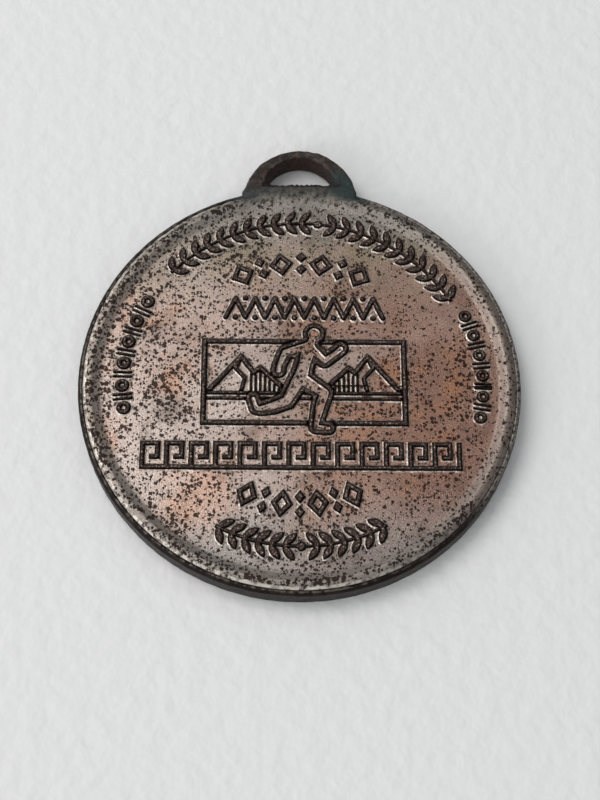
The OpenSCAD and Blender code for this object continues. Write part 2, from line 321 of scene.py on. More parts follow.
@dataclass(frozen=True)
class Finish:
    """Copper alloy with a thin silver wash, struck, worn and tarnished.

    The wash leaves a satin grey skin that lets warm copper through where it is thin.
    Damp has eaten dark brown pits through it. A dark antiquing stays on the raised
    strokes and the edge, and green verdigris gathers round the loop's feet.
    """

    place: Place
    slot: str
    levels: "Levels"
    # Colours, sRGB: the wash and the copper under it, then oxides, worn metal, painted highlights and salts.
    silver: str = "ad9e95"
    copper_pink: str = "a27f6e"
    copper_brown: str = "886658"
    copper_orange: str = "a9744f"
    rim_grey: str = "8a827a"
    blush: str = "bd937c"
    straw: str = "837a68"
    lead_grey: str = "86817d"
    tarnish: str = "54453c"
    stain: str = "3c3531"
    painted_glint: str = "cfc3ba"
    pit: str = "231814"
    rust: str = "2f1e18"
    antiquing: str = "1b1412"
    painted_foot_highlight: str = "e3d8cd"
    ridge_brown: str = "372b27"
    rubbed: str = "96857b"
    painted_edge_highlight: str = "c9c1b6"
    wall: str = "1d1714"
    wall_worn: str = "382d27"
    lip_highlight: str = "5d544e"
    lip_grey: str = "8f8780"
    loop_brown: str = "241c19"
    loop_worn: str = "5c5049"
    loop_grey: str = "77736a"
    loop_red: str = "3a1f19"
    verdigris: str = "1b2a2a"
    verdigris_pale: str = "33433f"
    # Where damp sat: x, y, size and strength.
    stains: tuple[tuple[float, float, float, float], ...] = (
        (-17.5, -4.2, 3.0, 0.85), (-24.2, 2.6, 1.9, 0.85), (-19.5, 7.0, 2.4, 0.5), (21.5, -14.5, 2.2, 0.45),
        (-6.0, 8.6, 2.0, 0.4), (16.0, -22.0, 2.4, 0.5), (0.5, 3.0, 11.0, 0.34), (1.0, 25.0, 4.5, 0.5))
    blush_at: tuple[float, float, float] = (-14.0, -15.0, 3.4)
    # Spacings in millimetres. The satin grain is near 0.1 mm; it is drawn at 0.2 mm so that
    # it shows. The frays are the ragged outlines where one coat gives way to another.
    grain_mm: float = 0.2
    stroke_fray_mm: float = 0.41667
    crumb_mm: float = 0.22222
    rim_fray_mm: float = 0.90909
    edge_fray_mm: float = 0.76923
    stain_fray_mm: float = 1.42857
    loop_grain_mm: float = 0.38462
    burr_fray_mm: float = 0.625
    salt_fray_mm: float = 1.81818
    large_pit_mm: float = 0.60
    small_pit_mm: float = 0.38
    # Roughness and metallic start from satin plate, pitted rust, rubbed metal and oxide.
    satin_rough: float = 0.34
    rubbed_rough: float = 0.26
    glossy_rough: float = 0.24
    edge_rough: float = 0.28
    wall_rough: float = 0.48
    pit_rough: float = 0.6
    salt_rough: float = 0.7
    wash_metal: float = 0.96
    stroke_metal: float = 0.95
    pit_metal: float = 0.88
    wall_metal: float = 0.85
    film_metal: float = 0.50
    salt_metal: float = 0.2
    # Depths in millimetres of the grain, the pits and the cast of the strokes and the loop.
    grain_depth: float = 0.045
    pit_depth: float = 0.045
    stroke_unevenness: float = 0.19
    loop_unevenness: float = 0.26
    # How each colour and each kind of wear comes and goes over the metal.
    warm_drifts: Drift = Drift(15.0, 3.0, 0.34, 0.66)
    brown_drifts: Drift = Drift(11.0, 3.0, 0.30, 0.62)
    orange_patches: Drift = Drift(6.5, 4.0, 0.50, 0.74)
    straw_drifts: Drift = Drift(8.0, 3.0, 0.22, 0.62)
    blush_breaks: Drift = Drift(5.0, 3.0, 0.30, 0.55)
    tarnish_haze: Drift = Drift(4.5, 5.0, 0.50, 0.82)
    rusty_pits: Drift = Drift(5.0, 2.0, 0.50, 0.62)
    pit_drifts: Drift = Drift(7.0, 3.0, 0.35, 0.68)
    rim_pits: Drift = Drift(3.0, 3.0, 0.30, 0.58)
    foot_highlight_gaps: Drift = Drift(1.6, 3.0, 0.36, 0.56)
    edge_highlight_gaps: Drift = Drift(0.8, 5.0, 0.40, 0.56)
    wall_streaks: Drift = Drift(1.3, 5.0, 0.45, 0.75)
    lip_highlight_gaps: Drift = Drift(0.9, 4.0, 0.44, 0.60)
    lip_bare: Drift = Drift(0.5, 5.0, 0.36, 0.58)
    loop_mottle: Drift = Drift(1.3, 5.0, 0.40, 0.68)
    loop_red_spots: Drift = Drift(1.1, 4.0, 0.56, 0.72)
    loop_thinning: Drift = Drift(0.7, 5.0, 0.36, 0.60)
    salt_crumbs: Drift = Drift(0.5, 4.0, 0.48, 0.72)

    def material(self) -> bpy.types.Material:
        """Builds the finish's material, or hands back the one already built.

        Returns:
            The material.
        """
        name = f"struck_{self.place.value}"
        if name in bpy.data.materials:
            return bpy.data.materials[name]
        sh = Shader(name)
        coat = self.loop_tarnish(sh) if self.place is Place.LOOP else self.wash(sh)
        if self.place is Place.RELIEF:
            coat = self.antiqued(sh, coat)
        if self.place is Place.RIM:
            coat = self.loop_stained(sh, self.edge(sh, coat))
        if self.place is not Place.RELIEF:
            coat = self.green(sh, coat)
        if self.place is Place.LOOP:
            coat = self.burred(sh, coat)
        bump = sh.put("Bump", {"Strength": 1.0, "Distance": MM, "Height": coat.height})
        surface = sh.put("BsdfPrincipled", {
            "Base Color": coat.colour, "Roughness": coat.rough, "Metallic": coat.metal, "Normal": bump,
        })
        sh.put("OutputMaterial", {"Surface": surface})
        return sh.material

    def wash(self, sh: Shader) -> Coat:
        """The silver wash over copper: drifts of colour, a satin grain with a painted glint, and pits.

        Args:
            sh: The material being built.

        Returns:
            The coat.
        """
        lean = sh.put("MapRange", {0: sh.x, 1: -12.0, 2: 20.0}, **EASED)
        warm = sh.put("Mix", {0: 0.5, 2: sh.clouds(self.warm_drifts), 3: lean}, **VALUES)
        right = sh.put("Math", {0: lean, 1: sh.clouds(self.brown_drifts)}, **TIMES)
        patch = sh.put("Math", {0: sh.clouds(self.orange_patches), 1: 0.6}, **TIMES)
        top = sh.put("MapRange", {0: sh.y, 1: 8.0, 2: 23.0}, **EASED)
        top = sh.put("Math", {0: top, 1: sh.clouds(self.straw_drifts)}, **TIMES)
        # The wash stayed thick and leaden at the foot and the head of the medal.
        foot = sh.put("MapRange", {0: sh.y, 1: -13.0, 2: -25.0}, **EASED)
        head = sh.put("MapRange", {0: sh.y, 1: 19.0, 2: 25.0}, **EASED)
        ends = sh.put("Math", {0: foot, 1: head}, operation="MAXIMUM")
        ends = sh.put("Math", {0: ends, 1: 0.75}, **TIMES)
        blush = sh.put("VectorMath", {0: sh.point, 1: self.blush_at}, "Value", operation="DISTANCE")
        blush = sh.put("MapRange", {0: blush, 1: 9.0, 2: 2.0, 4: 0.6}, **EASED)
        blush = sh.put("Math", {0: blush, 1: sh.clouds(self.blush_breaks)}, **TIMES)
        haze = sh.put("Math", {0: sh.clouds(self.tarnish_haze), 1: 0.8}, **TIMES)
        grain = sh.put("TexNoise", {**sh.spaced(self.grain_mm), "Detail": 2.0, "Roughness": 0.7})
        mottle = sh.put("MapRange", {0: grain, 1: 0.45, 2: 0.72, 4: 0.52})
        # Painted glint: pale specks in the grain stand in for sparkle off the metal.
        painted_glint = sh.put("MapRange", {0: grain, 1: 0.46, 2: 0.30, 4: 0.38})
        colour = self.silver
        for share, tint in (
            (warm, self.copper_pink), (right, self.copper_brown), (patch, self.copper_orange),
            (top, self.straw), (ends, self.lead_grey), (blush, self.blush), (haze, self.tarnish),
            (mottle, self.tarnish), (painted_glint, self.painted_glint),
        ):
            colour = sh.put("Mix", {0: share, 6: colour, 7: tint}, **COLOURS)
        if self.place is Place.RIM:
            colour = self.rim_wash(sh, colour)
        stained = self.stained(sh)
        damp = sh.put("Math", {0: stained, 1: 0.55}, **TIMES)
        colour = sh.put("Mix", {0: damp, 6: colour, 7: self.stain}, **COLOURS)
        pits = self.pits(sh, stained)
        oxide = sh.put("Mix", {0: sh.clouds(self.rusty_pits), 6: self.pit, 7: self.rust}, **COLOURS)
        colour = sh.put("Mix", {0: pits, 6: colour, 7: oxide}, **COLOURS)
        rough = sh.put("Mix", {0: pits, 2: self.satin_rough, 3: self.pit_rough}, **VALUES)
        rough = sh.put("Math", {0: grain, 1: 0.16, 2: rough}, **TIMES_PLUS)
        rough = sh.put("Math", {0: rough, 1: 0.08}, operation="SUBTRACT")
        metal = sh.put("Mix", {0: pits, 2: self.wash_metal, 3: self.pit_metal}, **VALUES)
        height = sh.put("Math", {0: grain, 1: self.grain_depth}, **TIMES)
        height = sh.put("Math", {0: pits, 1: -self.pit_depth, 2: height}, **TIMES_PLUS)
        return Coat(colour, rough, metal, height)

    @staticmethod
    def highlight_and_tarnish_side(sh: Shader) -> bpy.types.NodeSocket:
        """Where the rim's painted highlights go: more at the lower left, facing the light, than at the
        right.

        Args:
            sh: The material being built.

        Returns:
            1 where the rim has its painted highlight, near 0 where it kept its tarnish.
        """
        slope = sh.put("Math", {0: sh.y, 1: 0.45, 2: sh.x}, **TIMES_PLUS)
        return sh.put("MapRange", {0: slope, 1: 12.0, 2: -12.0, 3: 0.08, 4: 1.0}, **EASED)

    def rim_wash(self, sh: Shader, colour: bpy.types.NodeSocket) -> bpy.types.NodeSocket:
        """Greys the rim, where the wash is thicker, and dulls its outer part.

        Args:
            sh: The material being built.
            colour: The wash's colour on the field.

        Returns:
            The colour on the rim.
        """
        lv = self.levels
        ragged = sh.put("TexNoise", {**sh.spaced(self.rim_fray_mm), "Detail": 5.0, "Roughness": 0.7})
        place = sh.put("Math", {0: ragged, 1: 2.0, 2: sh.radius}, **TIMES_PLUS)
        cove = sh.put("MapRange", {0: place, 1: lv.field_r + 0.7, 2: lv.field_r + 2.4, 4: 0.7})
        colour = sh.put("Mix", {0: cove, 6: colour, 7: self.rim_grey}, **COLOURS)
        outer = sh.put("MapRange", {0: place, 1: lv.disc_r - 1.0, 2: lv.disc_r + 0.2}, **EASED)
        dull = sh.put("MapRange", {0: self.highlight_and_tarnish_side(sh), 1: 1.0, 2: 0.1, 3: 0.15, 4: 0.46})
        dull = sh.put("Math", {0: outer, 1: dull}, **TIMES)
        return sh.put("Mix", {0: dull, 6: colour, 7: self.stain}, **COLOURS)

    def stained(self, sh: Shader) -> bpy.types.NodeSocket:
        """A few places where damp sat for longer, so that the pits run together.

        Args:
            sh: The material being built.

        Returns:
            1 in the middle of a stain and 0 away from it.
        """
        total = sh.put("Math", {0: 0.0, 1: 0.0})
        edge = sh.put("TexNoise", {**sh.spaced(self.stain_fray_mm), "Detail": 4.0})
        for x, y, size, strength in self.stains:
            centre = (x, y, self.levels.field_z)
            away = sh.put("VectorMath", {0: sh.point, 1: centre}, "Value", operation="DISTANCE")
            away = sh.put("Math", {0: edge, 1: size * 1.6, 2: away}, **TIMES_PLUS)
            spot = sh.put("MapRange", {0: away, 1: size * 1.9, 2: size * 0.9, 4: strength}, **EASED)
            total = sh.put("Math", {0: total, 1: spot}, operation="ADD")
        return total

    def pits(self, sh: Shader, stained: bpy.types.NodeSocket) -> bpy.types.NodeSocket:
        """Pits of 0.2 to 0.8 mm in drifts, closer together at the left and near the rim.

        Args:
            sh: The material being built.
            stained: Where the damp stains are.

        Returns:
            1 in a pit and 0 on the wash.
        """
        lv = self.levels
        left = sh.put("MapRange", {0: sh.x, 1: 8.0, 2: -20.0, 3: 0.33, 4: 0.48})
        drift = sh.clouds(self.pit_drifts)
        crowd = sh.put("Math", {0: drift, 1: 0.22, 2: left}, **TIMES_PLUS)
        rim = sh.put("MapRange", {0: sh.radius, 1: lv.field_r + 0.8, 2: lv.disc_r - 1.7}, **EASED)
        rim = sh.put("Math", {0: rim, 1: sh.clouds(self.rim_pits)}, **TIMES)
        crowd = sh.put("Math", {0: rim, 1: 0.22, 2: crowd}, **TIMES_PLUS)
        crowd = sh.put("Math", {0: stained, 1: 0.16, 2: crowd}, **TIMES_PLUS)
        large = sh.flecks(self.large_pit_mm, crowd, 0.0)
        small = sh.put("Math", {0: crowd, 1: 0.94}, **TIMES)
        small = sh.flecks(self.small_pit_mm, small, 31.0)
        both = sh.put("Math", {0: large, 1: small}, operation="MAXIMUM")
        return sh.put("Math", {0: both, 1: 0.92}, **TIMES)

    def antiqued(self, sh: Shader, under: Coat) -> Coat:
        """Dark antiquing on the strokes, rubbed through on their ridges, with a painted highlight round
        their feet.

        Args:
            sh: The material being built.
            under: The wash round the strokes' feet.

        Returns:
            The coat.
        """
        low = self.levels.field_z
        high = low + self.levels.relief_h
        ragged = sh.put("TexNoise", {**sh.spaced(self.stroke_fray_mm), "Detail": 4.0, "Roughness": 0.6})
        level = sh.put("Math", {0: ragged, 1: 0.12, 2: sh.z}, **TIMES_PLUS)
        dark = sh.put("MapRange", {0: level, 1: low + 0.155, 2: low + 0.215}, **EASED)
        foot = sh.put("MapRange", {0: level, 1: low + 0.065, 2: low + 0.10}, **EASED)
        ridge = sh.put("MapRange", {0: level, 1: high - 0.10, 2: high + 0.06}, **EASED)
        crumbs = sh.put("TexNoise", {**sh.spaced(self.crumb_mm), "Detail": 2.0, "Roughness": 0.7})
        crumbs = sh.put("MapRange", {0: crumbs, 1: 0.53, 2: 0.66}, **EASED)
        worn = sh.put("Math", {0: ridge, 1: crumbs}, **TIMES)
        # Painted highlight: a pale, smoother band round each stroke's foot, where the fillet catches the
        # light.
        foot = sh.put("Math", {0: foot, 1: sh.clouds(self.foot_highlight_gaps)}, **TIMES)
        base = sh.put("Mix", {0: foot, 6: under.colour, 7: self.painted_foot_highlight}, **COLOURS)
        smoothness = sh.put("Mix", {0: foot, 2: under.rough, 3: self.rubbed_rough}, **VALUES)
        body = sh.put("Mix", {0: ridge, 6: self.antiquing, 7: self.ridge_brown}, **COLOURS)
        body = sh.put("Mix", {0: worn, 6: body, 7: self.rubbed}, **COLOURS)
        colour = sh.put("Mix", {0: dark, 6: base, 7: body}, **COLOURS)
        gloss = sh.put("MapRange", {0: crumbs, 3: self.satin_rough, 4: self.glossy_rough})
        rough = sh.put("Mix", {0: dark, 2: smoothness, 3: gloss}, **VALUES)
        metal = sh.put("Mix", {0: dark, 2: under.metal, 3: self.stroke_metal}, **VALUES)
        height = sh.put("Math", {0: ragged, 1: self.stroke_unevenness, 2: under.height}, **TIMES_PLUS)
        return Coat(colour, rough, metal, height)

    def edge(self, sh: Shader, under: Coat) -> Coat:
        """The rim: a painted highlight along the top edge and the lip, strongest at the lower left, and a
        dark wall with worn streaks.

        Args:
            sh: The material being built.
            under: The wash.

        Returns:
            The coat.
        """
        lv = self.levels
        step = lv.disc_r - lv.lip_w
        ragged = sh.put("TexNoise", {**sh.spaced(self.edge_fray_mm), "Detail": 4.0})
        place = sh.put("Math", {0: ragged, 1: 0.5, 2: sh.radius}, **TIMES_PLUS)
        # Painted highlight: the pale, broken line along the top edge is strongest at the lower left, facing
        # the light; the rubbed mask puts it there.
        edge_highlight_mask = sh.put("MapRange", {0: place, 1: step - 0.2, 2: step + 0.05}, **EASED)
        below_loop = sh.put("MapRange", {0: sh.y, 1: 28.2, 2: 27.2}, **EASED)
        rubbed = self.highlight_and_tarnish_side(sh)
        front = sh.put("MapRange", {0: sh.z, 1: lv.field_z, 2: lv.field_z + 0.2}, **EASED)
        for part in (sh.clouds(self.edge_highlight_gaps), below_loop, rubbed, front):
            edge_highlight_mask = sh.put("Math", {0: edge_highlight_mask, 1: part}, **TIMES)
        colour = sh.put("Mix", {0: edge_highlight_mask, 6: under.colour, 7: self.painted_edge_highlight}, **COLOURS)
        wall = sh.put("MapRange", {0: sh.radius, 1: step + 0.04, 2: step + 0.10}, **EASED)
        streaks = sh.clouds(self.wall_streaks)
        streaks = sh.put("Mix", {0: streaks, 6: self.wall, 7: self.wall_worn}, **COLOURS)
        # Painted highlight: the lip is drawn paler at the lower left, facing the light.
        lip = sh.put("MapRange", {0: sh.z, 1: lv.disc_t - 0.47, 2: lv.disc_t - 0.41}, **EASED)
        for part in (sh.clouds(self.lip_highlight_gaps), rubbed):
            lip = sh.put("Math", {0: lip, 1: part}, **TIMES)
        streaks = sh.put("Mix", {0: lip, 6: streaks, 7: self.lip_highlight}, **COLOURS)
        # Hands and ribbons rubbed the lip down to grey metal along the upper right.
        upper = sh.put("Math", {0: sh.y, 1: 0.5}, **TIMES)
        right = sh.put("Math", {0: sh.x, 1: 0.8, 2: upper}, **TIMES_PLUS)
        right = sh.put("MapRange", {0: right, 1: 6.0, 2: 16.0}, **EASED)
        bare = sh.put("MapRange", {0: sh.z, 1: lv.disc_t - 0.74, 2: lv.disc_t - 0.56}, **EASED)
        for part in (sh.clouds(self.lip_bare), right):
            bare = sh.put("Math", {0: bare, 1: part}, **TIMES)
        streaks = sh.put("Mix", {0: bare, 6: streaks, 7: self.lip_grey}, **COLOURS)
        colour = sh.put("Mix", {0: wall, 6: colour, 7: streaks}, **COLOURS)
        rough = sh.put("Math", {0: under.rough, 1: 0.13}, operation="ADD")
        rough = sh.put("Mix", {0: edge_highlight_mask, 2: rough, 3: self.edge_rough}, **VALUES)
        rough = sh.put("Mix", {0: wall, 2: rough, 3: self.wall_rough}, **VALUES)
        # A thin grey film was left in the cove, where polishing hardly reached.
        film = sh.put("MapRange", {0: sh.z, 1: lv.field_z, 2: lv.field_z + 0.15}, **EASED)
        land = sh.put("MapRange", {0: sh.z, 1: lv.disc_t - 0.08, 2: lv.disc_t - 0.24}, **EASED)
        film = sh.put("Math", {0: film, 1: land}, **TIMES)
        metal = sh.put("MapRange", {0: film, 3: under.metal, 4: self.film_metal})
        metal = sh.put("Mix", {0: wall, 2: metal, 3: self.wall_metal}, **VALUES)
        return Coat(colour, rough, metal, under.height)

    def loop_stained(self, sh: Shader, under: Coat) -> Coat:
        """The loop's tarnish where it runs down on to the rim.

        Args:
            sh: The material being built.
            under: The rim's coat.

        Returns:
            The coat.
        """
        lv = self.levels
        loop = self.loop_tarnish(sh)
        ragged = sh.put("TexNoise", {**sh.spaced(self.rim_fray_mm), "Detail": 5.0, "Roughness": 0.7})
        place = sh.put("Math", {0: ragged, 1: 4.2, 2: sh.radius}, **TIMES_PLUS)
        mask = sh.put("MapRange", {0: place, 1: lv.disc_r - 0.6, 2: lv.disc_r + 1.2}, **EASED)
        side = sh.put("Math", {0: sh.x}, operation="ABSOLUTE")
        near = sh.put("MapRange", {0: side, 1: 9.4, 2: 7.6}, **EASED)
        upper = sh.put("MapRange", {0: sh.y, 1: 20.0, 2: 24.0})
        for part in (near, upper):
            mask = sh.put("Math", {0: mask, 1: part}, **TIMES)
        colour = sh.put("Mix", {0: mask, 6: under.colour, 7: loop.colour}, **COLOURS)
        rough = sh.put("Mix", {0: mask, 2: under.rough, 3: loop.rough}, **VALUES)
        metal = sh.put("Mix", {0: mask, 2: under.metal, 3: loop.metal}, **VALUES)
        height = sh.put("Mix", {0: mask, 2: under.height, 3: loop.height}, **VALUES)
        return Coat(colour, rough, metal, height)

    def loop_tarnish(self, sh: Shader) -> Coat:
        """Brown tarnish on the loop, redder on its walls, where nothing rubs it.

        Args:
            sh: The material being built.

        Returns:
            The coat.
        """
        mottle = sh.clouds(self.loop_mottle)
        colour = sh.put("Mix", {0: mottle, 6: self.loop_brown, 7: self.loop_worn}, **COLOURS)
        wall = sh.put("MapRange", {0: sh.z, 1: 3.75, 2: 3.35}, **EASED)
        spots = sh.clouds(self.loop_red_spots)
        red = sh.put("Math", {0: wall, 1: 0.55, 2: spots}, use_clamp=True, **TIMES_PLUS)
        colour = sh.put("Mix", {0: red, 6: colour, 7: self.loop_red}, **COLOURS)
        # Low down, against the disc, the tarnish thins and the grey wash shows through.
        disc_r = self.levels.disc_r
        web = sh.put("MapRange", {0: sh.radius, 1: disc_r + 0.3, 2: disc_r - 1.4, 4: 0.9})
        web = sh.put("Math", {0: web, 1: sh.clouds(self.loop_thinning)}, **TIMES)
        colour = sh.put("Mix", {0: web, 6: colour, 7: self.loop_grey}, **COLOURS)
        grain = sh.put("TexNoise", {**sh.spaced(self.loop_grain_mm), "Detail": 5.0, "Roughness": 0.65})
        rough = sh.put("MapRange", {0: grain, 1: 0.3, 2: 0.7, 3: 0.42, 4: 0.68})
        metal = sh.put("Mix", {0: mottle, 2: 0.45, 3: 0.75}, **VALUES)
        height = sh.put("Math", {0: grain, 1: self.loop_unevenness}, **TIMES)
        return Coat(colour, rough, metal, height)

    def burred(self, sh: Shader, under: Coat) -> Coat:
        """Black oxide on the burr along the flat side of the eye.

        Args:
            sh: The material being built.
            under: The loop's coat.

        Returns:
            The coat.
        """
        lv = self.levels
        ragged = sh.put("TexNoise", {**sh.spaced(self.burr_fray_mm), "Detail": 4.0})
        line = sh.put("Math", {0: ragged, 1: 0.5, 2: sh.y}, **TIMES_PLUS)
        lower = sh.put("MapRange", {0: line, 1: lv.disc_r - 0.05, 2: lv.disc_r + 0.22}, **EASED)
        upper = sh.put("MapRange", {0: line, 1: lv.disc_r + 1.1, 2: lv.disc_r + 0.7}, **EASED)
        side = sh.put("Math", {0: sh.x}, operation="ABSOLUTE")
        mask = sh.put("MapRange", {0: side, 1: 6.1, 2: 5.2}, **EASED)
        for part in (lower, upper):
            mask = sh.put("Math", {0: mask, 1: part}, **TIMES)
        colour = sh.put("Mix", {0: mask, 6: under.colour, 7: self.pit}, **COLOURS)
        return Coat(colour, under.rough, under.metal, under.height)

    def green(self, sh: Shader, under: Coat) -> Coat:
        """Verdigris, a matt blue-green salt, spread round the loop's feet.

        Args:
            sh: The material being built.
            under: The coat that it covers.

        Returns:
            The coat.
        """
        lv = self.levels
        side = sh.put("Math", {0: sh.x}, operation="ABSOLUTE")
        spread = sh.put("TexNoise", {**sh.spaced(self.salt_fray_mm), "Detail": 5.0, "Roughness": 0.65})
        # The right foot is greened higher up than the left one.
        climb = sh.put("MapRange", {0: sh.x, 1: -5.0, 2: 6.0, 3: -2.2, 4: 1.5})
        reach = sh.put("Math", {0: spread, 1: 5.0, 2: climb}, **TIMES_PLUS)
        reach = sh.put("Math", {0: reach, 1: sh.y}, operation="SUBTRACT")
        above = sh.put("MapRange", {0: reach, 1: -lv.disc_r - 0.5, 2: -lv.disc_r + 2.7}, **EASED)
        rim = sh.put("Math", {0: spread, 1: 3.4, 2: sh.radius}, **TIMES_PLUS)
        inner = sh.put("MapRange", {0: rim, 1: lv.disc_r - 0.1, 2: lv.disc_r + 1.1}, **EASED)
        across = sh.put("MapRange", {0: side, 1: 10.6, 2: 8.4}, **EASED)
        feet = sh.put("MapRange", {0: side, 1: 2.2, 2: 6.4, 3: 0.35, 4: 0.95}, **EASED)
        upper = sh.put("MapRange", {0: sh.y, 1: 20.0, 2: 24.0})
        mask = above
        for part in (inner, across, feet, upper):
            mask = sh.put("Math", {0: mask, 1: part}, **TIMES)
        salt = sh.clouds(self.salt_crumbs)
        salt = sh.put("Mix", {0: salt, 6: self.verdigris, 7: self.verdigris_pale}, **COLOURS)
        colour = sh.put("Mix", {0: mask, 6: under.colour, 7: salt}, **COLOURS)
        rough = sh.put("Mix", {0: mask, 2: under.rough, 3: self.salt_rough}, **VALUES)
        metal = sh.put("Mix", {0: mask, 2: under.metal, 3: self.salt_metal}, **VALUES)
        return Coat(colour, rough, metal, under.height)


# ---------------------------------------------------------------------------
# The disc
# ---------------------------------------------------------------------------


@dataclass(frozen=True)
class Levels:
    """The disc's main sizes, read off the frame, in millimetres, and its lip's width."""

    disc_r: float
    disc_t: float
    field_r: float
    field_z: float
    relief_h: float
    lip_w: float = 0.8

    @classmethod
    def from_frame(cls) -> "Levels":
        """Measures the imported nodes.

        Returns:
            The sizes.
        """
        _, ring_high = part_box("rim_ring")
        _, core_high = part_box("field_disc")
        raised_low, raised_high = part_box("meander_row")
        return cls(
            disc_r=ring_high.x / MM,
            disc_t=ring_high.z / MM,
            field_r=core_high.x / MM,
            field_z=core_high.z / MM,
            relief_h=(raised_high.z - raised_low.z) / MM,
        )


@dataclass
class Disc:
    """The struck disc: two flat fields inside a rim."""

    levels: Levels
    ring_step: float = 0.5
    spokes: int = 360
    rim_spokes: int = 900
    back_depth: float = 0.35
    back_land: float = 1.2
    back_cove: float = 1.2
    front_land: float = 0.95
    below_top: float = 0.02
    dome_drop: float = 0.20
    # The trimmed step: how far out of the trimming line and how far below the top each point is.
    step: tuple[tuple[float, float], ...] = (
        (0.03, 0.25), (0.08, 0.32), (0.10, 0.46), (0.15, 0.50), (0.20, 0.41), (0.27, 0.39))
    lip_foot: float = 0.98
    lip_rise: float = 0.64
    back_edge: float = 0.5
    loop_half: float = 8.6
    swell: float = 0.012
    wear_depth: float = 0.022
    edge_wander: float = 0.03
    nicks: int = 46
    nick_size: tuple[float, float] = (0.35, 1.1)
    nick_depth: tuple[float, float] = (0.03, 0.11)
    ripple: Ripple = field(default_factory=lambda: Ripple(3, 4.0, 14.0))
    wear: Ripple = field(default_factory=lambda: Ripple(5, 0.9, 6.0))

    def front_surface(self, x: np.ndarray, y: np.ndarray) -> np.ndarray:
        """Height of the front field, which is not quite flat.

        Args:
            x: Places across the disc.
            y: Places up the disc.

        Returns:
            The heights, in millimetres.
        """
        points = np.column_stack([x, y, np.zeros_like(x)])
        fade = smooth((self.levels.field_r - np.hypot(x, y)) / 2.0)
        return self.levels.field_z + self.swell * fade * self.ripple.at(points)

    def build(self, finish: Finish, rim_finish: Finish) -> None:
        """Makes the field and the rim.

        Args:
            finish: The field's finish.
            rim_finish: The rim's finish.
        """
        report(self.make_field(), finish, "field_disc")
        report(self.make_rim(), rim_finish, "rim_ring")

    def make_field(self) -> bpy.types.Object:
        """Makes the middle of the disc, with both fields.

        Returns:
            The object.
        """
        radii = np.arange(self.ring_step, self.levels.field_r, self.ring_step)
        radii = np.append(radii[radii < self.levels.field_r - self.ring_step / 2], self.levels.field_r)
        angle = np.linspace(0.0, TURN, self.spokes, endpoint=False)
        rings = []
        for r in radii:
            x, y = r * np.cos(angle), r * np.sin(angle)
            rings.append(np.column_stack([x, y, self.front_surface(x, y)]))
        for r in radii[::-4]:
            x, y = r * np.cos(angle), r * np.sin(angle)
            back = np.full_like(x, self.back_depth)
            rings.append(np.column_stack([x, y, back]))
        middle = self.front_surface(np.zeros(1), np.zeros(1))[0]
        points = np.vstack(rings + [[[0.0, 0.0, middle], [0.0, 0.0, self.back_depth]]])
        n, rows = self.spokes, len(rings)
        faces = ring_faces(rows, n, closed=False)
        top, bottom = rows * n, rows * n + 1
        faces += [[top, i, (i + 1) % n] for i in range(n)]
        last = (rows - 1) * n
        faces += [[bottom, last + (i + 1) % n, last + i] for i in range(n)]
        return make_piece("struck_field", points, faces, crease_deg=35.0)

    def rim_profile(self) -> np.ndarray:
        """The rim's cross-section, from the front field outwards and round to the back.

        Returns:
            Rows of radius and height.
        """
        lv = self.levels
        depth = lv.disc_t - lv.field_z
        land_in = lv.disc_r - lv.lip_w - self.front_land
        cove = land_in - lv.field_r
        t = np.linspace(0.0, 1.0, 21)
        rise = smooth((t - 0.20) / 0.80)
        front_cove = np.column_stack([lv.field_r + cove * t, lv.field_z + (depth - self.below_top) * rise])
        crown = np.linspace(0.15, 0.9, 7)
        dome = lv.disc_t - self.below_top - self.dome_drop * crown ** 2
        land = np.column_stack([land_in + self.front_land * crown, dome])
        # The trimming tool left a step, with a thin lip of metal outside it.
        trim = lv.disc_r - lv.lip_w
        step = np.array([[trim + out, lv.disc_t - down] for out, down in self.step])
        a = np.radians(np.linspace(62.0, 5.0, 9))
        lip_r = lv.lip_w - 0.1
        lip = np.column_stack([
            lv.disc_r - lip_r + lip_r * np.cos(a), lv.disc_t - self.lip_foot + self.lip_rise * np.sin(a)])
        wall_z = np.linspace(lv.disc_t - 1.1, self.back_edge + 0.15, 9)
        wall = np.column_stack([np.full(9, lv.disc_r), wall_z])
        a = np.radians(np.linspace(0.0, -90.0, 9))
        back_edge = np.column_stack([
            lv.disc_r - self.back_edge + self.back_edge * np.cos(a),
            self.back_edge + self.back_edge * np.sin(a)])
        back_in = lv.disc_r - self.back_edge - self.back_land
        back_land = np.array([[back_in + self.back_land * s, 0.0] for s in (0.66, 0.33)])
        back_r = (self.back_cove ** 2 + self.back_depth ** 2) / (2.0 * self.back_depth)
        s = np.linspace(1.0, 0.0, 9)
        back_cove = np.column_stack([
            back_in - self.back_cove + self.back_cove * s,
            self.back_depth - back_r + np.sqrt(back_r ** 2 - (self.back_cove * s) ** 2)])
        inside = np.array([[lv.field_r, self.back_depth]])
        return np.vstack([front_cove, land, step, lip, wall, back_edge, back_land, back_cove, inside])

    def make_rim(self) -> bpy.types.Object:
        """Makes the rim, with its uneven edge and its nicks.

        Returns:
            The object.
        """
        profile = self.rim_profile()
        n, rows = self.rim_spokes, len(profile)
        angle = np.linspace(0.0, TURN, n, endpoint=False)
        radius = np.repeat(profile[:, 0], n)
        height = np.repeat(profile[:, 1], n)
        turn = np.tile(angle, rows)
        points = np.column_stack([radius * np.cos(turn), radius * np.sin(turn), height])
        points = self.weather(points, radius, height)
        return make_piece("struck_rim", points, ring_faces(rows, n, closed=True), crease_deg=40.0)

